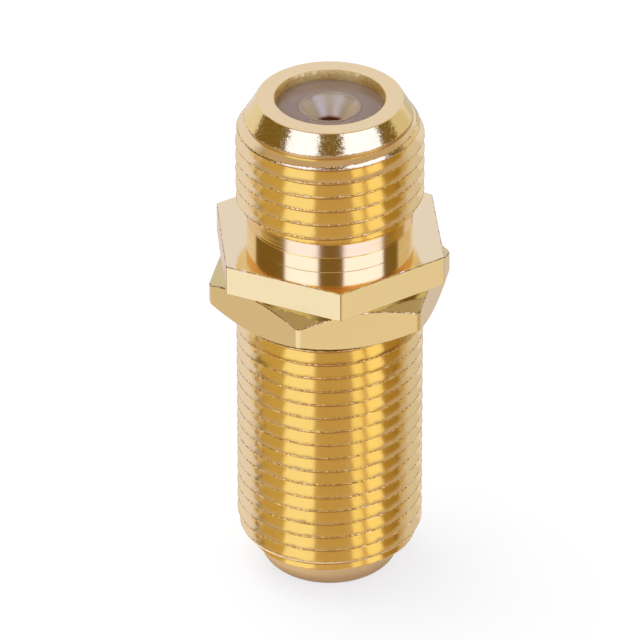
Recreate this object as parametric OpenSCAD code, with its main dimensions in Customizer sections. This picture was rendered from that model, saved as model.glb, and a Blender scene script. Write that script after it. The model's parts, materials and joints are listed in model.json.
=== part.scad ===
// Coaxial bulkhead coupler, female to female, with its panel nut.
// One turned brass barrel carries a hexagonal flange and a 3/8-32 thread on both sides of it.
// Two moulded insulators and a double-ended spring contact are trapped inside the barrel,
// between a turned lip at the top and an edge that is rolled over at the bottom.
// The barrel stands on its rolled edge, with +Z along its axis. Units are millimetres.
// Threads are plain cylinders at their major diameter, with the real lead-ins and reliefs.

/* [Thread] */
// Major diameter of the thread, 3/8 in less the fit allowance
thread_d = 9.5; // [9.4:0.05:9.55]
// Pitch of the thread, 32 to the inch
thread_pitch = 0.79375; // [0.75:0.00625:0.85]
// Diameter of the plain relief on each side of the flange
relief_d = 8.4; // [8.2:0.1:8.8]

/* [Barrel] */
// Length of the barrel from the rolled edge to the top ring
barrel_h = 27.1; // [26:0.1:29]
// Diameter of the bore that holds the insulators
bore_d = 6.4; // [6.2:0.05:6.5]
// Outer diameter of the flat ring at the top
ring_d = 7.36; // [7.1:0.02:7.6]
// Opening in the top ring
ring_open_d = 5.6; // [5.2:0.05:5.8]
// Thickness of the lip behind the top ring
ring_lip = 0.55; // [0.4:0.05:0.8]
// Length of the tapered lead-in under the top ring
top_taper = 1.85; // [1.4:0.05:2]

/* [Flange] */
// Width of the flange across its flats
flange_af = 11; // [10.6:0.1:11.2]
// Thickness of the flange
flange_h = 1.6; // [1.4:0.1:1.8]
// Height of the underside of the flange
flange_z = 17.8; // [17.4:0.1:18.2]
// Turn of the flange about the axis, in degrees
flange_turn = -25.1; // [-30:0.1:30]

/* [Rolled end] */
// Outer diameter of the plain spigot at the bottom
spigot_d = 7.2; // [7.1:0.05:7.4]
// Length of the spigot below the thread
spigot_h = 1.77; // [1.5:0.01:2]
// Radius of the edge that is rolled over
roll_r = 1; // [0.8:0.1:1.1]
// Opening inside the rolled edge
roll_open_d = 4.7; // [4.3:0.1:4.9]
// Diameter at which the lower thread starts
thread_start_d = 8.84; // [8.6:0.02:9.2]

/* [Nut] */
// Width of the nut across its flats
nut_af = 11; // [10.8:0.1:11.2]
// Thickness of the nut
nut_h = 2.2; // [1.8:0.1:2.2]
// Gap between the nut and the flange
nut_gap = 0.05; // [0.02:0.01:0.1]
// Turn of the nut about the axis, in degrees
nut_turn = 15.3; // [-30:0.1:30]
// Running clearance between the nut and the thread, on the radius
nut_clear = 0.05; // [0.02:0.01:0.08]

/* [Insulators] */
// Width of the funnel that guides the wire in
funnel_d = 2.84; // [2.4:0.02:3.2]
// Depth of the funnel
funnel_h = 0.95; // [0.7:0.05:1.2]
// Diameter of the guide hole
guide_d = 1.26; // [1.1:0.02:1.4]
// Length of the guide hole
guide_h = 1; // [0.8:0.1:1.2]
// Thickness of the disc that fills the bore
disc_h = 3; // [2.6:0.1:3.6]
// Outer diameter of the sleeve round the contact
sleeve_d = 3.2; // [2.8:0.1:3.8]

/* [Contact] */
// Outer diameter of the contact tube
contact_d = 1.9; // [1.8:0.05:1.95]
// Wall of the contact tube
contact_wall = 0.18; // [0.14:0.01:0.22]
// Length of the sprung tines at each end
tine_h = 4.2; // [3.5:0.1:5]
// Width of the slots between the tines
tine_slot = 0.22; // [0.15:0.01:0.3]
// Inner diameter where the tines are pinched together
pinch_d = 0.62; // [0.5:0.02:0.7]

/* [Hidden] */

eps = 0.5;                                   // overshoot of a cutter past the face it opens
thread_r = thread_d / 2;
relief_r = relief_d / 2;
relief_h = 2 * thread_pitch;                 // two pitches of run-out room for the die
runout = thread_r - relief_r;                // 45 degree shoulder from relief to thread
spigot_r = spigot_d / 2;
bore_r = bore_d / 2;
roll_wall = spigot_r - bore_r;               // metal left round the bore at the spigot
start_taper = 2.4 * (thread_r - thread_start_d / 2);
flange_corner_d = flange_af / cos(30) - 0.04;
edge_break = 0.1;                            // small chamfer on sharp turned edges

nut_z = flange_z - nut_gap - nut_h;
nut_bore_r = thread_r + nut_clear;
nut_sink = 0.25;                             // countersink at both ends of the nut's thread
nut_bevel_d = nut_af - 0.4;                  // where the 30 degree bevel meets the end faces
nut_corner_d = nut_af / cos(30) - 0.14;

fit = 0.03;                                  // moulded disc in the bore, on the radius
disc_r = bore_r - fit;
front_face_z = barrel_h - ring_lip;
insulator_h = (front_face_z - roll_wall) / 2;
mouth_h = 0.16;                              // shallow rounding at the funnel's mouth
mouth_d = funnel_d - 0.4;
contact_room = 0.05;                         // play round the contact, on the radius
end_play = 0.1;                              // play at each end of the contact
cavity_r = contact_d / 2 + contact_room;
contact_h = 2 * (insulator_h - funnel_h - guide_h - end_play);
pinch_h = 0.7;                               // from the tip of a tine to its narrowest place
tip_flare = 0.24;                            // how far the tips open again, on the radius

brass = [0.88, 0.70, 0.34];
nut_brass = [0.86, 0.72, 0.45];
clear_plastic = [0.78, 0.74, 0.72];
bronze = [0.72, 0.45, 0.26];

// A hexagon with one corner towards +X before it is turned, its corners trimmed to a circle.
module hex_bar(af, h, turn, corner_d) {
    rotate([0, 0, turn])
        intersection() {
            cylinder(h = h, d = af / cos(30), $fn = 6);
            cylinder(h = h, d = corner_d, $fn = 96);
        }
}

// Half section of the turned barrel without its flange: spigot, thread, two reliefs, thread, taper.
module barrel_outline() {
    below = flange_z - relief_h;
    above = flange_z + flange_h + relief_h;
    polygon([
        [0, spigot_h],
        [thread_start_d / 2, spigot_h],
        [thread_r, spigot_h + start_taper],
        [thread_r, below - runout],
        [relief_r, below],
        [relief_r, above],
        [thread_r, above + runout],
        [thread_r, barrel_h - top_taper],
        [ring_d / 2, barrel_h],
        [0, barrel_h]
    ]);
    translate([spigot_r - roll_r, roll_r])
        circle(r = roll_r, $fn = 64);
    square([spigot_r - roll_r, spigot_h + eps]);
    translate([0, roll_r])
        square([spigot_r, spigot_h + eps - roll_r]);
}

// Half section of the room inside: rolled edge, long bore, lip at the top.
module barrel_room() {
    translate([spigot_r - roll_r, roll_r])
        circle(r = roll_r - roll_wall, $fn = 64);
    translate([0, roll_wall])
        square([spigot_r - roll_r, roll_r]);
    translate([0, roll_r])
        square([bore_r, front_face_z - roll_r]);
    translate([0, -eps])
        square([roll_open_d / 2, barrel_h]);
    polygon([
        [0, front_face_z - eps],
        [ring_open_d / 2, front_face_z - eps],
        [ring_open_d / 2, barrel_h - edge_break],
        [ring_open_d / 2 + edge_break, barrel_h],
        [ring_open_d / 2 + edge_break, barrel_h + eps],
        [0, barrel_h + eps]
    ]);
}

module barrel() {
    color(brass)
        difference() {
            union() {
                rotate_extrude($fn = 96)
                    barrel_outline();
                translate([0, 0, flange_z])
                    hex_bar(flange_af, flange_h, flange_turn, flange_corner_d);
            }
            rotate_extrude($fn = 96)
                barrel_room();
        }
}

// Half section of the nut: 30 degree bevels on both faces, and straight trimmed corners.
module nut_outline() {
    bevel_h = (nut_corner_d - nut_bevel_d) / 2 * tan(30);
    polygon([
        [0, 0],
        [nut_bevel_d / 2, 0],
        [nut_corner_d / 2, bevel_h],
        [nut_corner_d / 2, nut_h - bevel_h],
        [nut_bevel_d / 2, nut_h],
        [0, nut_h]
    ]);
}

// Half section of the nut's hole, countersunk at both ends.
module nut_hole() {
    mouth_r = nut_bore_r + nut_sink;
    polygon([
        [0, -eps],
        [mouth_r, -eps],
        [mouth_r, 0],
        [nut_bore_r, nut_sink],
        [nut_bore_r, nut_h - nut_sink],
        [mouth_r, nut_h],
        [mouth_r, nut_h + eps],
        [0, nut_h + eps]
    ]);
}

module hex_nut() {
    color(nut_brass)
        translate([0, 0, nut_z])
            difference() {
                intersection() {
                    rotate_extrude($fn = 96)
                        nut_outline();
                    rotate([0, 0, nut_turn])
                        cylinder(h = nut_h, d = nut_af / cos(30), $fn = 6);
                }
                rotate_extrude($fn = 96)
                    nut_hole();
            }
}

// One moulding, face at z = 0 and sleeve towards +Z: a disc that fills the bore and a long sleeve.
// Its funnel guides the wire through the guide hole, and the cavity behind holds half the contact.
// shoulder_r is the radius of the disc's outer edge.
module insulator(shoulder_r) {
    rotate_extrude($fn = 72)
        difference() {
            union() {
                translate([disc_r - shoulder_r, shoulder_r])
                    circle(r = shoulder_r, $fn = 48);
                square([disc_r - shoulder_r, disc_h]);
                translate([0, shoulder_r])
                    square([disc_r, disc_h - shoulder_r]);
                square([sleeve_d / 2, insulator_h]);
            }
            polygon([
                [0, -eps],
                [funnel_d / 2, -eps],
                [funnel_d / 2, 0],
                [mouth_d / 2, mouth_h],
                [guide_d / 2, funnel_h],
                [guide_d / 2, funnel_h + guide_h],
                [cavity_r, funnel_h + guide_h],
                [cavity_r, insulator_h + eps],
                [0, insulator_h + eps]
            ]);
        }
}

// Sits under the lip at the top, face up.
module front_insulator() {
    color(clear_plastic)
        translate([0, 0, front_face_z])
            rotate([180, 0, 0])
                insulator(edge_break);
}

// Sits in the rolled edge at the bottom, face down, with its shoulder in the curve of the roll.
module rear_insulator() {
    color(clear_plastic)
        translate([0, 0, roll_wall])
            insulator(roll_r - roll_wall);
}

// Half section of the upper half of the contact: tube, tapered tine, pinch, flared tip.
module contact_half() {
    tube_r = contact_d / 2;
    root_z = contact_h / 2 - tine_h;
    pinch_z = contact_h / 2 - pinch_h;
    tip_r = pinch_d / 2 + tip_flare;
    polygon([
        [tube_r - contact_wall, 0],
        [tube_r, 0],
        [tube_r, root_z],
        [pinch_d / 2 + contact_wall, pinch_z],
        [tip_r + contact_wall, contact_h / 2],
        [tip_r, contact_h / 2],
        [pinch_d / 2, pinch_z],
        [tube_r - contact_wall, root_z]
    ]);
}

// A sprung bronze tube: two crossed slots at each end leave four tines that grip a wire.
module centre_contact() {
    color(bronze)
        translate([0, 0, (roll_wall + front_face_z) / 2])
            for (side = [0, 1])
                mirror([0, 0, side])
                    difference() {
                        rotate_extrude($fn = 48)
                            contact_half();
                        for (turn = [45, 135])
                            rotate([0, 0, turn])
                                translate([-contact_d, -tine_slot / 2, contact_h / 2 - tine_h])
                                    cube([2 * contact_d, tine_slot, tine_h + eps]);
                    }
}

barrel();
hex_nut();
front_insulator();
rear_insulator();
centre_contact();
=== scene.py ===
# %% [markdown]
# # A threaded coaxial coupler, surface by surface
# The real object is a small screw-machine part: a brass barrel with a hexagonal flange, a thin
# hexagonal nut that runs on its long end, two moulded insulators and a sprung contact. Everything
# but the insulators is bright metal, so almost all that the eye sees is reflection. Two things
# decide whether it looks right: the exact shape of each small surface, and what stands round the
# object for those surfaces to mirror. This lesson makes the shapes with numpy, one grid of points
# per piece, and then builds the studio that they reflect.

# %% Load the frame
import json
import math

import bmesh
import bpy
import numpy as np
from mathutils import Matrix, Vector


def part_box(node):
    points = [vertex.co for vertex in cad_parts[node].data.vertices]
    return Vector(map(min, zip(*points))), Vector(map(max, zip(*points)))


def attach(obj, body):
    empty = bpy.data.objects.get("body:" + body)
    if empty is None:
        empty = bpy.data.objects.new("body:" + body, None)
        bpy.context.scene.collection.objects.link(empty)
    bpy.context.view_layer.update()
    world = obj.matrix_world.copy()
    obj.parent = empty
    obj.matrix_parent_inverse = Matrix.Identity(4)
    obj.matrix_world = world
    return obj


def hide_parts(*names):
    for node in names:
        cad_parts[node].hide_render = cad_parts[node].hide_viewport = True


MM = 0.001
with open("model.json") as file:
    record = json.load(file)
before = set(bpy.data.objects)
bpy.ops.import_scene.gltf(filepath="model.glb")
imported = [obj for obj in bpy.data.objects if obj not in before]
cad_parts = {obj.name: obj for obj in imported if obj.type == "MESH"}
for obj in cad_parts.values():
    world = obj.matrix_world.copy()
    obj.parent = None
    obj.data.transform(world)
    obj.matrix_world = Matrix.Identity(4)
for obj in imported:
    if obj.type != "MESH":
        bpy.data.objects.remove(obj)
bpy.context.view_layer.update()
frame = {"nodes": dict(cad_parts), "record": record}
mounts = {mount["name"]: mount for mount in frame["record"]["mounts"]}
print("nodes:", sorted(frame["nodes"]))

# %% [markdown]
# ## Sizes
# The frame already knows the main sizes: where the barrel, the nut and the insulators start and
# end, and the radius of the thread. The rest are the turned details of this kind of coupler. All
# of them are in millimetres, with z = 0 at the bottom edge, and they turn to metres only when a
# mesh is written.

# %% Driving sizes
barrel_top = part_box("barrel")[1].z / MM
nut_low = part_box("hex_nut")[0].z / MM
nut_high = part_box("hex_nut")[1].z / MM
face_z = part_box("front_insulator")[1].z / MM
rear_face_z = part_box("rear_insulator")[0].z / MM
sleeve_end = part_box("front_insulator")[0].z / MM
major_r = mounts["upper_thread"]["dims"]["r_mm"]
guide_r = mounts["upper_socket"]["dims"]["r_mm"]

pitch = 25.4 / 32
neck_r = 4.2
bore_r = 3.2
flange_low = 17.8
flange_high = 19.4
flange_half_af = 5.5
flange_corner_r = 6.33
flange_turn = math.radians(-25.1)
nut_half_af = 5.5
nut_corner_r = 6.28
nut_turn = math.radians(15.3)
spigot_r = 3.6
spigot_h = 1.77
print("barrel height", round(barrel_top, 3), "thread radius", major_r, "pitch", pitch)

# %% [markdown]
# ## Grids of points
# A turned piece is a stack of rings. Each ring is one row of a grid, with one column for each
# angle, so a whole piece is two arrays: the radius and the height at every row and column. The
# last row is joined to the first, which closes the shape like a rubber ring, and the last column
# lies on the first and is merged with it. Where a piece has a hexagon, some columns are placed
# exactly on its corners, because a corner that falls between two columns would look chewed.

# %% Columns
def hexagon_columns(turn, corner_half_angle, steps):
    """Angles from 0 to a full turn: three close columns at each of six corners, even steps between."""
    gap = np.linspace(corner_half_angle, math.pi / 3 - corner_half_angle, steps)
    sector = np.concatenate([[0], gap])
    angles = np.concatenate([turn + corner * math.pi / 3 + sector for corner in range(6)])
    return np.concatenate([[0], np.sort(angles % (2 * math.pi)), [2 * math.pi]])


def hexagon_radius(angles, turn, half_af, corner_r):
    """Distance to a hexagon's flat: half_af / cos(angle from the flat's middle), and at most corner_r."""
    from_flat = (angles - turn) % (math.pi / 3) - math.pi / 6
    return np.minimum(half_af / np.cos(from_flat), corner_r)


print("columns of a hexagon:", len(hexagon_columns(0, math.radians(1), 39)))

# %% Skins
sharp_angle = math.radians(28)
merge_distance = 1e-4 * MM


def skin(name, radius, height, angles, finish):
    """A closed mesh: x = radius cos(angle), y = radius sin(angle), z = height; a finish per row or face."""
    rows, columns = radius.shape
    points = np.stack([radius * np.cos(angles), radius * np.sin(angles), height], axis=-1)
    row = np.arange(rows)[:, None]
    above = (row + 1) % rows
    column = np.arange(columns - 1)[None, :]
    corners = [row * columns + column, row * columns + column + 1,
               above * columns + column + 1, above * columns + column]
    quads = np.stack(corners, axis=-1).reshape(-1, 4)
    mesh = bpy.data.meshes.new(name)
    mesh.from_pydata(points.reshape(-1, 3) * MM, [], quads)
    slots = finish if finish.ndim == 2 else np.repeat(finish[:, None], columns - 1, axis=1)
    mesh.polygons.foreach_set("material_index", slots.reshape(-1).astype(np.int32))
    shape = bmesh.new()
    shape.from_mesh(mesh)
    bmesh.ops.remove_doubles(shape, verts=shape.verts, dist=merge_distance)
    bmesh.ops.recalc_face_normals(shape, faces=shape.faces)
    shape.to_mesh(mesh)
    shape.free()
    mesh.shade_smooth()
    mesh.set_sharp_from_angle(angle=sharp_angle)
    piece = bpy.data.objects.new(name, mesh)
    bpy.context.scene.collection.objects.link(piece)
    print(name, "rows", rows, "columns", columns, "quads", len(mesh.polygons))
    return piece


def arc(centre_r, centre_z, radius, start, end, steps):
    """Points on a circle in the half section: centre plus radius times (cos, sin), in degrees."""
    turn = np.radians(np.linspace(start, end, steps))
    return np.stack([centre_r + radius * np.cos(turn), centre_z + radius * np.sin(turn)], axis=-1)


# %% [markdown]
# ## The thread
# A 3/8-32 thread is a 60 degree V with a narrow flat left on the crest and in the root. Its rows
# are not rings but one long helix: row k climbs by one pitch in a full turn, so at the seam it
# meets row k + one pitch, and the merge closes it. The thread is cut into a blank, so its radius
# is the smaller of two things: the V at that height and angle, and the blank at that height. Each
# turn's rows are laid along the lines where its two flanks come out of the blank, so every edge is
# an edge of the mesh. Only the first groove at the top is wider, because the die enters there.

# %% The V
crest_flat = 0.045
root_flat = 0.05
flank_slope = math.tan(math.radians(60))
thread_depth = (pitch - crest_flat - root_flat) / 2 * flank_slope
root_r = major_r - thread_depth
crest_break = 0.015
edge_strip = 0.03
first_cut_z = 25.35
first_cut_rise = 0.2
first_cut_width = 0.12


def first_cut(crest):
    """How much wider the groove above a crest is: a ramp from nothing at first_cut_z to its full width."""
    return first_cut_width * np.clip((crest - first_cut_z) / first_cut_rise, 0, 1)


def v_radius(height, angles, reference):
    """Major radius less the fall of the nearer flank, which starts half a flat from the crest's middle."""
    along = (height - reference - pitch * angles / (2 * math.pi)) / pitch
    offset = (along - np.round(along)) * pitch
    away = np.maximum(offset + first_cut(height - offset), -offset)
    return major_r - np.clip((away - crest_flat / 2) * flank_slope, 0, thread_depth)


def ridge_edges(crest, blank):
    """How far below and above each crest's middle its flanks leave the blank, by repeated substitution."""
    cut = first_cut(crest)
    below = np.full_like(crest, crest_flat / 2)
    above = crest_flat / 2 - cut
    for _ in range(12):
        low_depth = np.clip(major_r - blank(crest - below), 0, thread_depth)
        high_depth = np.clip(major_r - blank(crest + above), 0, thread_depth)
        below = crest_flat / 2 + low_depth / flank_slope
        above = crest_flat / 2 - cut + high_depth / flank_slope
    return np.maximum(below, cut / 2), np.maximum(above, -cut / 2)


print("thread depth", round(thread_depth, 3), "root radius", round(root_r, 3))

# %% The helix
CREST, ROOT, FLANK = 0, 1, 2
row_kinds = np.array([FLANK, CREST, CREST, CREST, CREST, FLANK, ROOT, ROOT, ROOT, FLANK])
corner_room = 0.02


def helix_rows(low, high, reference, angles, blank):
    """Heights of helical rows along the edges of every ridge and root, clipped to low and high."""
    turns = np.arange(math.floor((low - reference) / pitch) - 2, math.ceil((high - reference) / pitch) + 2)
    crest = reference + pitch * (turns[:, None] + angles / (2 * math.pi))
    below, above = ridge_edges(crest, blank)
    strip = np.minimum(edge_strip, 0.3 * (below + above))
    next_edge = crest + pitch - ridge_edges(crest + pitch, blank)[0] - crest_break
    flank_top = crest + above + crest_break
    root_low = np.maximum(crest + pitch / 2 - root_flat / 2 - first_cut(crest), flank_top)
    root_high = np.minimum(crest + pitch / 2 + root_flat / 2, next_edge)
    flank_foot = np.maximum(root_low - corner_room, flank_top)
    rows = [crest - below - crest_break, crest - below, crest - below + strip, crest + above - strip,
            crest + above, flank_top, flank_foot, root_low, root_high,
            np.minimum(root_high + corner_room, next_edge)]
    height = np.stack(rows, axis=1).reshape(-1, len(angles))
    return np.clip(height, low, high), np.tile(row_kinds, len(turns))


print("rows to a turn:", len(row_kinds))

# %% [markdown]
# ## Burrs
# Under a lens no edge of a die-cut thread or a sawn hexagon is clean: the tool leaves a ragged
# burr, and bright plating turns each tooth of it into a spark. The burr here is a random change of
# radius on the edge rows, a few hundredths of a millimetre at most. It is the same on every run,
# because the random numbers are seeded.

# %% Ragged edges
ragged = np.random.default_rng(32)
burr_steps = 260


def burr(rows, angles, shift, size):
    """Random radius at even angles, read off at each column; the last column is the first, shift rows on."""
    even = np.linspace(0, 2 * math.pi, burr_steps)
    noise = np.clip(ragged.normal(0, size, (rows, len(even))), -2 * size, 0.6 * size)
    noise = np.stack([np.interp(angles, even, row) for row in noise])
    noise[:, -1] = np.roll(noise[:, 0], -shift)
    return noise


print("burr teeth about", round(2 * math.pi * major_r / burr_steps, 2), "mm apart")

# %% [markdown]
# ## The barrel
# From the bottom: a rolled edge, a plain spigot, the long thread, a hidden relief, the flange, a
# short neck with tool marks near its top, the short thread, a taper and a flat ring. The way back
# down is the lip, the long bore and the inside of the roll. All of it is one piece of brass, so it
# is one mesh: plain rows, helical rows and hexagonal rows stacked in one grid.

# %% The barrel's sizes
corner_half_angle = math.pi / 6 - math.acos(flange_half_af / flange_corner_r)
columns = hexagon_columns(flange_turn, corner_half_angle, 39)
relief_h = 2 * pitch
ring_r = 3.68
taper_h = 1.85
ring_open_r = 2.8
roll_r = 1
roll_wall = spigot_r - bore_r
roll_open_r = 2.35
thread_start_r = 4.42
thread_start_slope = 2.4
foot_z = 26.05
foot_fuller = 0.03
groove_turn = 82.6 / 360
lower_groove_z = 14.713
upper_groove_z = 24.476
lower_reference = lower_groove_z + pitch / 2 + pitch * groove_turn
upper_reference = upper_groove_z + pitch / 2 + pitch * groove_turn


def rings(profile):
    """Plain rows, one for each (radius, height) of a half section, the same at every angle."""
    profile = np.asarray(profile, float)
    ones = np.ones((1, len(columns)))
    return profile[:, :1] * ones, profile[:, 1:] * ones


def lower_blank(height):
    """The long end before its thread is cut: a cone at the start, full radius, a 45 degree shoulder."""
    start = thread_start_r + (height - spigot_h) / thread_start_slope
    end = neck_r + (flange_low - relief_h - height)
    return np.clip(np.minimum(start, end), neck_r, major_r)


def upper_blank(height):
    """The short end: a 45 degree shoulder, full radius, then the taper, a little fuller below its foot."""
    start = neck_r + (height - flange_high - relief_h)
    end = ring_r + (barrel_top - height) * (major_r - ring_r) / taper_h
    fuller = foot_fuller * np.clip((foot_z - height) / 0.1, 0, 1)
    return np.clip(np.minimum(start, end + fuller), ring_r, major_r)


print("columns", len(columns), "relief", round(relief_h, 3))

# %% Cutting a thread
TURNED, GRAINED, THREAD, EDGE, MILLED, SHADED_ROOTS, ROLLED, FACED, BRUSHED, CRESTS, LIP = range(11)
thread_burr = 0.005
crest_least_depth = 0.03
burr_least_depth = 0.3
uncut_margin = 0.002


def cut_thread(low, high, reference, blank, blank_finish, angles):
    """Helical rows whose radius is the smaller of the V and the blank, with burrs on the crests."""
    height, kinds = helix_rows(low, high, reference, angles, blank)
    kind = kinds[:, None] + np.zeros_like(height, int)
    radius = np.minimum(v_radius(height, angles, reference), blank(height))
    sharp = (kind == CREST) & (blank(height) > root_r + crest_least_depth)
    inside = (height > low) & (height < high) & sharp & (blank(height) > root_r + burr_least_depth)
    radius = radius + np.where(inside, burr(len(height), angles, len(row_kinds), thread_burr), 0)
    middle = (height + np.vstack([height[1:], height[-1:]])) / 2
    uncut = blank(middle) < v_radius(middle, angles, reference) - uncut_margin
    crest_top = (np.arange(len(kinds)) % len(row_kinds) == 2)[:, None]
    # Roots take the finish whose darker colour is painted shade.
    finish = np.array([CRESTS, SHADED_ROOTS, THREAD])[kind]
    finish = np.where(uncut & (~sharp | crest_top), blank_finish, finish)
    return radius, height, finish[:, :-1]


lower = cut_thread(spigot_h, flange_low - relief_h, lower_reference, lower_blank, THREAD, columns)
print("rows in the long thread:", len(lower[0]))

# %% Flange and neck
flange_burr = 0.018
burr_row = 4
edge_inset = 0.035
first_row_inset = 0.07
second_row_inset = 0.11
neck_gap = 0.02
marks_low = flange_high + 0.85
plain_top = marks_low - 0.05
marks_high = flange_high + relief_h - 0.13
mark_pitch = 0.12
mark_rises = (0, 0.01, 0.095, 0.105)
mark_slopes = (16.5, 21)


def flange_rows():
    """The flange: a ring on the neck, then hexagonal rows round the outside with broken edges."""
    hexagon = hexagon_radius(columns, flange_turn, flange_half_af, flange_corner_r)
    neck = np.full_like(hexagon, neck_r)
    rows = [(neck, flange_low), (hexagon - edge_inset, flange_low),
            (hexagon, flange_low + edge_inset), (hexagon, flange_high - edge_inset),
            (hexagon - edge_inset, flange_high), (hexagon - first_row_inset, flange_high),
            (hexagon - second_row_inset, flange_high), (neck + neck_gap, flange_high)]
    radius = np.stack([row[0] for row in rows])
    height = np.stack([np.full_like(hexagon, row[1]) for row in rows])
    noise = burr(1, columns, 0, flange_burr)[0]
    radius[burr_row] += noise
    height[burr_row] += np.minimum(noise, 0)
    return radius, height


def neck_rows():
    """Plain by the flange, then tool marks: radius falls by climb times slope, then springs back."""
    points = [(neck_r, flange_high + neck_gap), (neck_r, plain_top)]
    for low in np.arange(marks_low, marks_high, mark_pitch):
        slope = math.tan(math.radians(ragged.uniform(*mark_slopes)))
        for climb in mark_rises:
            points.append((neck_r - climb * slope, low + climb))
    points.append((neck_r, flange_high + relief_h - neck_gap))
    return rings(np.array(points))


flange = flange_rows()
neck = neck_rows()
print("rows in the flange", len(flange[0]), "and the neck", len(neck[0]))

# %% Both ends
step_fillet = 0.04
end_land = 0.09
lip_taper = 0.06
lip_depth = 0.22
lip_burr = 0.006
lip_row = 3
outer_roll = arc(spigot_r - roll_r, roll_r, roll_r, -90, 0, 14)
inner_roll = arc(spigot_r - roll_r, roll_r, roll_r - roll_wall, 0, -90, 10)
step = [(spigot_r, spigot_h - step_fillet), (spigot_r + step_fillet, spigot_h)]
bottom = rings(np.vstack([outer_roll, step]))
upper_start = flange_high + relief_h
upper = cut_thread(upper_start, barrel_top - end_land, upper_reference, upper_blank, GRAINED, columns)
inside_profile = [
    (ring_r + 0.02, barrel_top - 0.025), (ring_r - 0.015, barrel_top),
    (ring_open_r + 0.02, barrel_top), (ring_open_r - 0.01, barrel_top - 0.03),
    (ring_open_r - lip_taper, barrel_top - lip_depth), (ring_open_r - lip_taper, face_z),
    (bore_r, face_z), (bore_r, roll_r + 0.3)]
way_down = rings(np.vstack([inside_profile, inner_roll, [(roll_open_r, roll_wall), (roll_open_r, 0)]]))
way_down[0][lip_row] += burr(1, columns, 0, lip_burr)[0]
print("rows in the short thread", len(upper[0]), "and on the way down", len(way_down[0]))

# %% Barrel
def each_face(slots):
    """A slot for every face of plain rows: the row's own slot, repeated for all columns."""
    return np.repeat(np.asarray(slots)[:, None], len(columns) - 1, axis=1)


flange_finish = each_face([FACED, EDGE, MILLED, EDGE, FACED, FACED, FACED, TURNED])
milled_row = 2
narrow = np.diff(columns) < 1.5 * corner_half_angle
# The hexagon's narrow corner strips take the root finish, painted darker as shade.
flange_finish[milled_row, narrow] = SHADED_ROOTS
barrel_r = np.vstack([bottom[0], lower[0], flange[0], neck[0], upper[0], way_down[0]])
barrel_z = np.vstack([bottom[1], lower[1], flange[1], neck[1], upper[1], way_down[1]])
barrel_finish = np.vstack([
    each_face([ROLLED] * len(bottom[0])), lower[2], flange_finish,
    each_face(np.where(neck[1][:, 0] >= plain_top, BRUSHED, TURNED)), upper[2],
    each_face([GRAINED, TURNED, LIP, LIP, LIP] + [TURNED] * (len(way_down[0]) - 5))])
barrel_piece = skin("turned_barrel", barrel_r, barrel_z, columns, barrel_finish)

# %% [markdown]
# ## The nut
# The nut is sawn from hexagonal bar and both faces are bevelled at 30 degrees on a lathe. Where
# that cone meets the six flats it leaves the curved scallops that every nut has. No boolean is
# needed for them: the height at which the bevel meets the flat follows from the radius of the
# hexagon at that angle. Inside is the same V thread as on the barrel, turned inside out.

# %% The nut's hexagon
nut_corner_half = math.pi / 6 - math.acos(nut_half_af / nut_corner_r)
nut_columns = hexagon_columns(nut_turn, nut_corner_half, 39)
nut_bevel_r = nut_half_af - 0.2
nut_bevel_slope = math.tan(math.radians(30))
nut_edge = 0.03
nut_shoulder = 0.09
nut_burr = 0.007


def nut_outside():
    """Rows over the outside: bevel height = (radius - bevel radius) tan 30, at the foot and the head."""
    hexagon = hexagon_radius(nut_columns, nut_turn, nut_half_af, nut_corner_r)
    bevel = (hexagon - nut_bevel_r) * nut_bevel_slope
    inner = np.full_like(hexagon, nut_bevel_r)
    mid = (hexagon + nut_bevel_r) / 2
    noise = burr(1, nut_columns, 0, nut_burr)[0]
    rows = [(inner, nut_low + 0 * bevel), (mid, nut_low + bevel / 2),
            (hexagon - nut_edge, nut_low + bevel - nut_edge * 0.6), (hexagon, nut_low + bevel + nut_edge),
            (hexagon, nut_high - bevel - nut_edge),
            (hexagon - nut_edge + noise, nut_high - bevel + nut_edge * 0.6),
            (hexagon - nut_shoulder, nut_high - bevel + nut_shoulder * nut_bevel_slope),
            (mid, nut_high - bevel / 2), (inner, nut_high + 0 * bevel)]
    return np.stack([row[0] for row in rows]), np.stack([row[1] for row in rows])


outside = nut_outside()
print("rows outside:", len(outside[0]))

# %% The nut's thread
nut_clearance = 0.05
nut_sink = 0.25
nut_face_gap = 0.02
mouth_land = 0.02
mouth_r = major_r + nut_clearance + nut_sink


def nut_inside():
    """Rows down the hole: countersink, helical thread, countersink, never less than the V plus clearance."""
    low = nut_low + nut_face_gap
    high = nut_high - nut_face_gap
    height, kinds = helix_rows(low, high, lower_reference, nut_columns, lambda z: major_r + 0 * z)
    sink = np.maximum(mouth_r - (height - nut_low), mouth_r - (nut_high - height))
    radius = np.maximum(v_radius(height, nut_columns, lower_reference) + nut_clearance, sink)
    return radius[::-1], height[::-1], kinds[::-1]


inside = nut_inside()
mouth_ring = np.full((1, len(nut_columns)), mouth_r + mouth_land)
nut_r = np.vstack([outside[0], mouth_ring, inside[0], mouth_ring])
nut_z = np.vstack([outside[1], 0 * mouth_ring + nut_high, inside[1], 0 * mouth_ring + nut_low])
NUT_FLAT, NUT_BEVEL, NUT_EDGE, NUT_THREAD = range(4)
nut_finish = np.concatenate([
    [NUT_BEVEL, NUT_BEVEL, NUT_EDGE, NUT_FLAT, NUT_EDGE, NUT_BEVEL, NUT_BEVEL, NUT_BEVEL, NUT_BEVEL],
    [NUT_THREAD], np.full(len(inside[0]), NUT_THREAD), [NUT_BEVEL]])
nut_piece = skin("milled_nut", nut_r, nut_z, nut_columns, nut_finish)

# %% [markdown]
# ## The insulators
# Each insulator is one moulding: a disc that fills the bore, a funnel that leads the wire to the
# hole, and a long sleeve round the contact. The plastic is clear enough to see into, so it is a
# closed solid with all its inner walls, and light has real surfaces to bend at.

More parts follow.
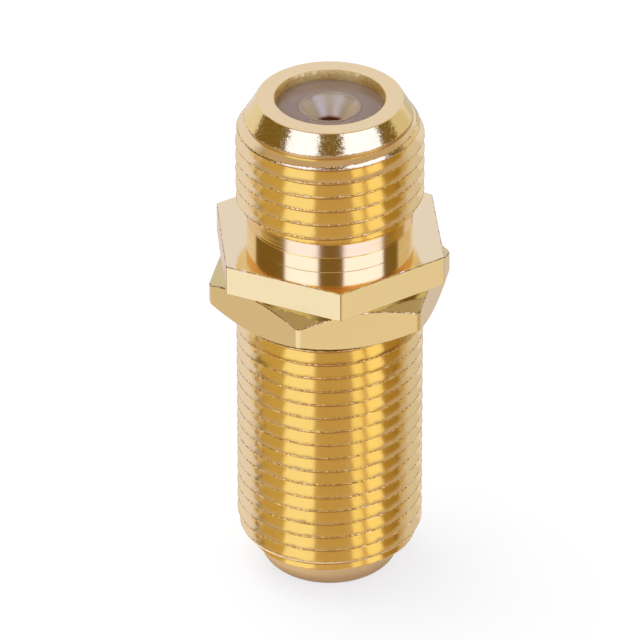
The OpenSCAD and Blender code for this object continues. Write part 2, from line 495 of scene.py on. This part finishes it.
# %% Insulators
disc_r = bore_r - 0.03
disc_h = 3
sleeve_r = 1.6
cavity_r = 1
funnel_r = 1.42
funnel_h = 0.95
guide_h = 1
bead_r = 0.16
bead_depth = 0.11
throat_lead = 0.06
disc_edge = 0.05
sleeve_edge = 0.1
front_edge_r = 0.1
round_columns = np.linspace(0, 2 * math.pi, 129)


def insulator(name, shoulder_r, place):
    """One moulding as a revolved half section: depth runs from its face, and place turns it into z."""
    sleeve_depth = abs(sleeve_end - place(0))
    shoulder = arc(disc_r - shoulder_r, shoulder_r, shoulder_r, -90, 0, 8)
    bead = arc(funnel_r + bead_depth, bead_depth, bead_r, -50, -142, 11)
    throat = arc(guide_r + bead_r, funnel_h + throat_lead, bead_r, 218, 180, 6)
    profile = np.vstack([
        shoulder, [(disc_r, disc_h - disc_edge), (disc_r - disc_edge, disc_h),
                   (sleeve_r + sleeve_edge, disc_h), (sleeve_r, disc_h + sleeve_edge),
                   (sleeve_r, sleeve_depth), (cavity_r, sleeve_depth), (cavity_r, funnel_h + guide_h),
                   (guide_r, funnel_h + guide_h)],
        throat[::-1], bead[::-1]])
    ones = np.ones((1, len(round_columns)))
    height = place(profile[:, 1:]) * ones
    return skin(name, profile[:, :1] * ones, height, round_columns, np.zeros(len(profile)))


front_piece = insulator("front_moulding", front_edge_r, lambda depth: face_z - depth)
rear_piece = insulator("rear_moulding", roll_r - roll_wall, lambda depth: rear_face_z + depth)

# %% [markdown]
# ## Materials
# Each finish starts from what the metal is and how it was worked. Colours are written as sRGB hex
# values and turned linear by one function, and one small function adds a node to a tree.

# %% Helpers for materials
def linear(hex_colour):
    """sRGB hex to linear light: c / 12.92 below the toe, ((c + 0.055) / 1.055) ^ 2.4 above it."""
    channel = np.array([int(hex_colour[i:i + 2], 16) / 255 for i in (1, 3, 5)])
    curve = np.where(channel <= 0.04045, channel / 12.92, ((channel + 0.055) / 1.055) ** 2.4)
    return (*curve.tolist(), 1.0)


def add(tree, kind, sockets=None, stops=None, **settings):
    """Adds a node: settings are properties, sockets are input values or links, stops fill a colour ramp."""
    made = tree.nodes.new("ShaderNode" + kind)
    for name, value in settings.items():
        setattr(made, name, value)
    for name, value in (sockets or {}).items():
        if isinstance(value, bpy.types.NodeSocket):
            tree.links.new(value, made.inputs[name])
        else:
            made.inputs[name].default_value = value
    for number, (position, colour) in enumerate(stops or []):
        ramp = made.color_ramp.elements
        stop = ramp[number] if number < 2 else ramp.new(position)
        stop.position = position
        stop.color = colour
    return made


def new_material(name):
    """An empty node material and its tree."""
    material = bpy.data.materials.new(name)
    material.use_nodes = True
    material.node_tree.nodes.clear()
    return material, material.node_tree


gold = "#FCE3AB"
print("gold in linear light:", np.round(linear(gold)[:3], 3).tolist())

# %% [markdown]
# ## Gold plating
# The brass is turned or sawn first and plated afterwards, and a plate of a micron or less follows
# whatever the tool left. So there is one metal here and the finishes differ in the tool: the
# lathe's fine lines run round the axis, the saw's along it, the die leaves crests as small facets,
# and a burr is a heap of them. One function makes them all, from the size of the grit, the spacing
# of the lines and the lean of the facets. Real grit and facets are a few microns wide and would
# blur into nothing from this distance, so grit is drawn 0.05 to 0.09 mm wide, and facets 0.05 to
# 0.1 mm, which is about ten times coarser than real.

# %% One function for every plated finish
bright_cells = (0.55, 0.85)
shade_speck_cells = (0.38, 0.52)


def plated_brass(name, colour, roughness, grit_mm, grit_height_mm, streak_mm=None, streak_height_mm=0.0,
                 cell_mm=0.1, tilt=0.0, spread=0.0, shade_specks=None, anisotropic=0.0):
    """Metal whose normal is the surface's plus tilt * (cell colour - 1/2), then bumped by grit and streaks.

    Roughness grows by spread over the brighter cells, and the darker cells are painted in the speck colour,
    as shade in the gaps between facets.
    """
    material, tree = new_material(name)
    place = add(tree, "TexCoord").outputs["Object"]
    cell = add(tree, "TexVoronoi", {"Vector": place, "Scale": 1 / (cell_mm * MM)}).outputs["Color"]
    lean = add(tree, "VectorMath", {0: cell, 1: (0.5, 0.5, 0.5)}, operation="SUBTRACT")
    lean = add(tree, "VectorMath", {0: lean.outputs[0], "Scale": tilt}, operation="SCALE")
    facing = add(tree, "VectorMath", {0: add(tree, "NewGeometry").outputs["Normal"], 1: lean.outputs[0]})
    facing = add(tree, "VectorMath", {0: facing.outputs[0]}, operation="NORMALIZE")
    grit = add(tree, "TexNoise", {"Vector": place, "Scale": 1 / (grit_mm * MM), "Detail": 1})
    bump = add(tree, "Bump", {"Height": grit.outputs[0], "Distance": grit_height_mm * MM,
                              "Normal": facing.outputs[0]})
    if streak_mm:
        scale = [1 / (step * MM) for step in streak_mm]
        lines = add(tree, "Mapping", {"Vector": place, "Scale": scale})
        wave = add(tree, "TexNoise", {"Vector": lines.outputs[0], "Scale": 1, "Detail": 2})
        bump = add(tree, "Bump", {"Height": wave.outputs[0], "Distance": streak_height_mm * MM,
                                  "Normal": bump.outputs[0]})
    rough = add(tree, "MapRange", {"Value": cell, "From Min": bright_cells[0], "From Max": bright_cells[1],
                                   "To Min": roughness, "To Max": roughness + spread})
    shader = add(tree, "BsdfPrincipled", {
        "Base Color": linear(colour), "Metallic": 1.0, "Roughness": rough.outputs[0],
        "Anisotropic": anisotropic, "Anisotropic Rotation": 0.25, "Normal": bump.outputs[0]})
    # Painted shade: the darker cells take the speck colour.
    if shade_specks:
        shade = add(tree, "ValToRGB", {0: cell}, [
            (shade_speck_cells[0], linear(shade_specks)), (shade_speck_cells[1], linear(colour))])
        tree.links.new(shade.outputs[0], shader.inputs["Base Color"])
    if anisotropic:
        axis = add(tree, "Tangent", direction_type="RADIAL", axis="Z")
        tree.links.new(axis.outputs[0], shader.inputs["Tangent"])
    add(tree, "OutputMaterial", {"Surface": shader.outputs[0]})
    return material


# %% The barrel's finishes, in the order of its slots
# Turned: a smooth mirror with faint rings, which shows the room in clean vertical bands.
# Grained: the shiny end cone, whose small facets break each band into glitter.
# Thread: flanks left by the die, stretched along the cut, so that lights smear round the axis.
# Burr: facets that lean far, so each one is a spark or a dark dot along an edge; the darker cells are
# also painted dark brown, as shade in the gaps.
# Milled: the sawn hexagon, satin, with fine lines along the axis.
# Root: the unreached bottom of the V and the hexagon's corners, dull, and painted brown as shade.
# Rolled: the curled bottom edge, satin from the roller, painted a darker gold as shade.
# Faced: the flange's top, the smoothest cut, close to a mirror.
# Brushed: the tool marks on the neck, which blur what they mirror round the axis.
# Crest: the narrow top of the thread, gently ragged, a dotted bright line, its darker cells painted
# brown as shade between the facets.
# Lip: the inner edge of the hole, rough, a broad pale glow, its darker cells painted a little deeper as
# shade.
round_the_axis = (3, 3, 0.09)
along_the_axis = (0.12, 0.12, 4)
finishes = [
    plated_brass("gold_plate_turned", gold, 0.13, 0.06, 0.0002, round_the_axis, 0.0005),
    plated_brass("gold_plate_grained", "#FBDF92", 0.10, 0.05, 0.0006, cell_mm=0.05, tilt=0.06, spread=0.18),
    plated_brass("gold_plate_thread", gold, 0.16, 0.06, 0.0002, (2, 2, 0.07), 0.0006, anisotropic=0.8),
    plated_brass("gold_plate_burr", "#FFDFA2", 0.22, 0.05, 0.002, cell_mm=0.07, tilt=0.6, shade_specks="#7A5024"),
    plated_brass("gold_plate_milled", "#FEE4B6", 0.40, 0.07, 0.0015, along_the_axis, 0.0015, spread=0.05),
    plated_brass("gold_plate_root_painted_shade", "#DDB478", 0.35, 0.06, 0.002),
    plated_brass("gold_plate_rolled_painted_shade", "#E6C48A", 0.45, 0.07, 0.0015, spread=0.05),
    plated_brass("gold_plate_faced", "#FCE9B9", 0.10, 0.06, 0.0003),
    plated_brass("gold_plate_brushed", "#F3C980", 0.18, 0.06, 0.0006, (1.5, 1.5, 0.06), 0.003),
    plated_brass("gold_plate_crest", "#FFE0A0", 0.24, 0.05, 0.001, cell_mm=0.07, tilt=0.32, shade_specks="#CC9C62"),
    plated_brass("gold_plate_lip", "#FFE488", 0.50, 0.05, 0.001, cell_mm=0.06, tilt=0.10, shade_specks="#F0CC74"),
]
for finish in finishes:
    barrel_piece.data.materials.append(finish)
print("slots on the barrel:", [finish.name for finish in finishes])

# %% The nut's finishes
# Flat: sawn bar, satin with fine lines. Bevel: turned across the corners, so a soft gleam. Burr:
# the sparks on the upper edge, with dark dots painted as shade between them. Thread: only its shade
# inside the hole is ever seen.
nut_gold = "#FFE2AC"
nut_finishes = [
    plated_brass("nut_plate_flat", nut_gold, 0.40, 0.07, 0.0015, (0.10, 0.10, 3), 0.0015, spread=0.05),
    plated_brass("nut_plate_bevel", "#E2CF90", 0.20, 0.06, 0.001, (0.35, 0.06, 0.35), 0.003),
    plated_brass("nut_plate_burr", "#F6D490", 0.22, 0.05, 0.002, cell_mm=0.07, tilt=0.6, shade_specks="#7A5226"),
    plated_brass("nut_plate_thread", nut_gold, 0.3, 0.09, 0.002),
]
for finish in nut_finishes:
    nut_piece.data.materials.append(finish)
print("slots on the nut:", [finish.name for finish in nut_finishes])

# %% [markdown]
# ## Plastic and bronze
# The insulators are moulded from unfilled polyolefin, which is milky rather than clear: light goes
# in, is scattered, and comes back warm from the gold behind. A glass shader alone would look like
# ice, so that light is painted into the base colour by distance from the axis: the funnel's throat
# is painted brown for the metal seen down the hole, its slope is painted pale and given a metal
# sheen for the gold and panels it reflects, and the flat face is painted warm for the bore behind.
# The contact is a strip of phosphor bronze, redder than the plating, and only a glint of it is seen.

# %% Clear plastic
# Painted highlight: the pale cream of the funnel's slope.
funnel_painted_highlight = linear("#F8E4BA")


def clear_plastic():
    """Unfilled polyolefin, moulded: IOR 1.5 and slightly milky, with the gold behind painted into its colour
    by distance from the axis.
    """
    material, tree = new_material("clear_milky_polyolefin")
    place = add(tree, "TexCoord").outputs["Object"]
    haze = add(tree, "TexNoise", {"Vector": place, "Scale": 1 / (0.6 * MM), "Detail": 2})
    bump = add(tree, "Bump", {"Height": haze.outputs[0], "Distance": 0.01 * MM})
    flat = add(tree, "VectorMath", {0: place, 1: (1, 1, 0)}, operation="MULTIPLY")
    away = add(tree, "VectorMath", {0: flat.outputs[0]}, operation="LENGTH").outputs["Value"]
    reach = add(tree, "MapRange", {"Value": away, "From Min": 0, "From Max": 3.2 * MM}).outputs[0]
    # Painted light by distance from the axis: a brown throat for the metal down the hole, a pale slope for
    # its reflections, a warm face for the bore behind.
    painted_tone = add(tree, "ValToRGB", {0: reach}, [
        (0.20, linear("#C07A48")), (0.225, funnel_painted_highlight), (0.42, funnel_painted_highlight),
        (0.50, linear("#CDAE90")), (1.0, linear("#C6A684"))])
    milky = add(tree, "ValToRGB", {0: reach}, [
        (0.19, (0.9, 0.9, 0.9, 1)), (0.22, (0, 0, 0, 1)), (0.41, (0, 0, 0, 1)), (0.46, (1, 1, 1, 1))])
    rough = add(tree, "MapRange", {"Value": milky.outputs[0], "To Min": 0.40, "To Max": 0.18})
    clear = add(tree, "MapRange", {"Value": milky.outputs[0], "To Min": 0.60, "To Max": 0.70})
    # The funnel's metal sheen stands in for the gold bore reflected through the plastic.
    funnel_metallic = add(tree, "MapRange", {"Value": milky.outputs[0], "To Min": 0.35, "To Max": 0.0})
    shader = add(tree, "BsdfPrincipled", {
        "Base Color": painted_tone.outputs[0], "Roughness": rough.outputs[0], "IOR": 1.5, "Metallic": funnel_metallic.outputs[0],
        "Transmission Weight": clear.outputs[0], "Normal": bump.outputs[0]})
    add(tree, "OutputMaterial", {"Surface": shader.outputs[0]})
    return material


plastic = clear_plastic()
front_piece.data.materials.append(plastic)
rear_piece.data.materials.append(plastic)
print("plastic:", plastic.name)


# %% Phosphor bronze
def phosphor_bronze():
    """Rolled spring strip, bare and slightly tarnished: a reddish metal with a fine rolled grain."""
    material, tree = new_material("phosphor_bronze_strip")
    place = add(tree, "TexCoord").outputs["Object"]
    grain = add(tree, "TexNoise", {"Vector": place, "Scale": 1 / (0.1 * MM), "Detail": 2})
    rough = add(tree, "MapRange", {"Value": grain.outputs[0], "To Min": 0.2, "To Max": 0.4})
    shader = add(tree, "BsdfPrincipled", {
        "Base Color": linear("#C58455"), "Metallic": 1.0, "Roughness": rough.outputs[0]})
    add(tree, "OutputMaterial", {"Surface": shader.outputs[0]})
    return material


contact = frame["nodes"]["centre_contact"]
bronze = phosphor_bronze()
if not contact.material_slots:
    contact.data.materials.append(bronze)
for contact_slot in contact.material_slots:
    contact_slot.material = bronze
print("finishes:", len(finishes) + len(nut_finishes) + 2)

# %% [markdown]
# ## The studio
# Polished metal has no look of its own. The world shader draws a room by direction: what a
# reflection sees depends on the compass angle and the height that it looks at. An upper row of
# panels gives the taper and the neck their dark and cream bands, and leans out a little low down.
# A lower row gives the thread and the hexagons their yellow and ochre. The camera itself sees
# plain white, and the floor keeps the shadow.

# %% Panels round the room
# A panel has two compass angles, in degrees from the front, and the light it gives. The horizon,
# the lean and the two ends of the room are elevations in degrees, each one a soft edge.
wall = (0.80, 0.79, 0.95)
day_box = (1.2, 1.45, 3.3)
dark_flag = (0.19, 0.13, 0.035)
card = (1.08, 1.19, 1.18)
right_card = (1.05, 1.08, 0.78)
upper_panels = [(-180, -126, wall), (-126, -66, dark_flag), (-66, -16, day_box), (-16, 19, dark_flag),
                (19, 80, day_box), (80, 110, dark_flag), (110, 150, (0.68, 0.65, 0.65)), (150, 180, wall)]
lower_panels = [(-180, -100, wall), (-100, -63, (0.61, 0.53, 0.28)), (-63, -21, card),
                (-21, 30, (0.565, 0.475, 0.29)), (30, 44, right_card), (44, 50, (0.64, 0.50, 0.24)),
                (50, 72, (1.12, 1.14, 0.84)), (72, 114, (0.44, 0.33, 0.09)), (114, 140, (0.82, 0.82, 1.05)),
                (140, 180, (0.60, 0.63, 0.68))]
panel_edge = 0.7
room_ends = (0.53, 0.41, 0.30)
horizon = (-6, -2)
lean_range = (19, 31)
lean_low = 1.11
room_low = (-70, -55)
room_high = (40, 48)
diffuse_light = 0.8
print("panels above and below:", len(upper_panels), len(lower_panels))

# %% World
def rise(elevation):
    """Place on the height ramp of a direction that rises by so many degrees: (1 + sin) / 2."""
    return (1 + math.sin(math.radians(elevation))) / 2


def soft_room():
    """Radiance by compass angle from the front: one row of panels looks down, the other looks up."""
    world = bpy.data.worlds.new("soft_room")
    bpy.context.scene.world = world
    world.use_nodes = True
    tree = world.node_tree
    tree.nodes.clear()
    way = add(tree, "TexCoord").outputs["Generated"]
    xyz = add(tree, "SeparateXYZ", {0: way})
    forward = add(tree, "Math", {0: xyz.outputs["Y"], 1: -1.0}, operation="MULTIPLY")
    compass = add(tree, "Math", {0: xyz.outputs["X"], 1: forward.outputs[0]}, operation="ARCTAN2")
    height = add(tree, "MapRange", {"Value": xyz.outputs["Z"], "From Min": -1.0}).outputs[0]
    lean = add(tree, "MapRange", {"Value": height, "From Min": rise(lean_range[0]),
                                  "From Max": rise(lean_range[1]), "To Min": lean_low, "To Max": 1.0})
    leaning = add(tree, "Math", {0: compass.outputs[0], 1: lean.outputs[0]}, operation="MULTIPLY")
    rows = []
    for panels, angle in ((lower_panels, compass), (upper_panels, leaning)):
        turn = add(tree, "MapRange", {"Value": angle.outputs[0], "From Min": -math.pi,
                                      "From Max": math.pi})
        stops = []
        for start, end, light in panels:
            stops.append(((start + panel_edge + 180) / 360, (*light, 1)))
            stops.append(((end - panel_edge + 180) / 360, (*light, 1)))
        rows.append(add(tree, "ValToRGB", {0: turn.outputs[0]}, stops).outputs[0])
    which = add(tree, "ValToRGB", {0: height}, [
        (rise(horizon[0]), (0, 0, 0, 1)), (rise(horizon[1]), (1, 1, 1, 1))])
    belt = add(tree, "ValToRGB", {0: height}, [
        (rise(room_low[0]), (0, 0, 0, 1)), (rise(room_low[1]), (1, 1, 1, 1)),
        (rise(room_high[0]), (1, 1, 1, 1)), (rise(room_high[1]), (0, 0, 0, 1))])
    both = add(tree, "Mix", {"Factor": which.outputs[0], "A": rows[0], "B": rows[1]}, data_type="RGBA")
    room = add(tree, "Mix", {"Factor": belt.outputs[0], "A": (*room_ends, 1), "B": both.outputs[2]},
               data_type="RGBA")
    path = add(tree, "LightPath")
    mirrored = add(tree, "Background", {"Color": room.outputs[2]})
    plain = add(tree, "Background", {"Color": (1, 1, 1, 1), "Strength": diffuse_light})
    white = add(tree, "Background", {"Color": (1, 1, 1, 1), "Strength": 1.0})
    seen = add(tree, "MixShader", {0: path.outputs["Is Diffuse Ray"], 1: mirrored.outputs[0],
                                   2: plain.outputs[0]})
    final = add(tree, "MixShader", {0: path.outputs["Is Camera Ray"], 1: seen.outputs[0],
                                    2: white.outputs[0]})
    add(tree, "OutputWorld", {"Surface": final.outputs[0]})
    return world


world = soft_room()
print("world:", world.name)

# %% [markdown]
# ## Floor and lamp
# White paper lies just under the part and catches a soft shadow. Only its near part is mirrored,
# because past that the metal looks out to the room. One large soft box hangs over the part. Its
# light falls on paper and plastic, while the metal mirrors the room and not the lamp.

# %% Floor
floor_gap = 0.02
mirror_reach = 7.5
white_share = 0.72


def paper_floor():
    """A wide sheet of white paper just under the part; metal mirrors only what is within mirror_reach."""
    side = 3.0
    mesh = bpy.data.meshes.new("paper_floor")
    corners = [(-side, -side), (side, -side), (side, side), (-side, side)]
    mesh.from_pydata([(x, y, -floor_gap * MM) for x, y in corners], [], [(0, 1, 2, 3)])
    floor = bpy.data.objects.new("paper_floor", mesh)
    bpy.context.scene.collection.objects.link(floor)
    material, tree = new_material("white_paper")
    paper = add(tree, "BsdfDiffuse", {"Color": linear("#F4F3F1")})
    place = add(tree, "TexCoord").outputs["Object"]
    away = add(tree, "VectorMath", {0: place}, operation="LENGTH")
    far = add(tree, "Math", {0: away.outputs["Value"], 1: mirror_reach * MM}, operation="GREATER_THAN")
    mirrored = add(tree, "LightPath").outputs["Is Glossy Ray"]
    gone = add(tree, "Math", {0: far.outputs[0], 1: mirrored}, operation="MULTIPLY")
    clear = add(tree, "BsdfTransparent")
    path = add(tree, "LightPath").outputs["Is Camera Ray"]
    lit = add(tree, "Math", {0: path, 1: white_share}, operation="MULTIPLY")
    white = add(tree, "Emission", {"Color": (1, 1, 1, 1), "Strength": 1.0})
    sheet = add(tree, "MixShader", {0: lit.outputs[0], 1: paper.outputs[0], 2: white.outputs[0]})
    seen = add(tree, "MixShader", {0: gone.outputs[0], 1: sheet.outputs[0], 2: clear.outputs[0]})
    add(tree, "OutputMaterial", {"Surface": seen.outputs[0]})
    mesh.materials.append(material)
    return floor


floor = paper_floor()
print("floor at z, mm:", round(floor.data.vertices[0].co.z / MM, 3))

# %% Lamp
lamp_target = Vector((0, 0, 0.014))


def lamp(name, place, size, power):
    """A square soft box that points at the middle of the part. Mirrors don't show it."""
    light = bpy.data.lights.new(name, "AREA")
    light.size = size
    light.energy = power
    holder = bpy.data.objects.new(name, light)
    holder.location = place
    holder.rotation_euler = (lamp_target - Vector(place)).to_track_quat("-Z", "Y").to_euler()
    holder.visible_glossy = False
    bpy.context.scene.collection.objects.link(holder)
    print(name, "side", size, "m, power", power, "W")


lamp("overhead_box", (-0.15, 0.1, 0.5), 0.4, 1.6)

# %% [markdown]
# ## The camera
# A product photographer stands well back with a long lens, so the barrel's sides stay parallel.
# The camera looks down at 31 degrees from the front, and the lens is set so that the part fills
# the frame.

# %% Camera
elevation = math.radians(31.25)
distance = 0.3731
aim = Vector((-0.4976 * MM, 0, 14.085 * MM))
sensor_mm = 36
lens_per_sensor = 7335.9 / 640
camera = bpy.data.objects.new("camera", bpy.data.cameras.new("camera"))
camera.data.sensor_width = sensor_mm
camera.data.lens = lens_per_sensor * sensor_mm
camera.data.clip_start = 0.01
camera.data.clip_end = 20
camera.location = aim + distance * Vector((0, -math.cos(elevation), math.sin(elevation)))
camera.rotation_euler = (math.pi / 2 - elevation, 0, 0)
bpy.context.scene.collection.objects.link(camera)
bpy.context.scene.camera = camera
bpy.context.scene.view_settings.view_transform = "Standard"
print("lens, mm:", round(camera.data.lens, 1), "at", distance, "m")

# %% [markdown]
# ## Joining the frame
# Each new piece is hung on the body it moves with, and the part of the construction that it stands for is
# hidden.

# %% Ride and replace
for piece, body, node, slot in (
        (barrel_piece, "coupler", "barrel", "plated_brass"),
        (nut_piece, "nut", "hex_nut", "plated_brass_nut"),
        (front_piece, "coupler", "front_insulator", "clear_plastic"),
        (rear_piece, "coupler", "rear_insulator", "clear_plastic")):
    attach(piece, body)
    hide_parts(node)
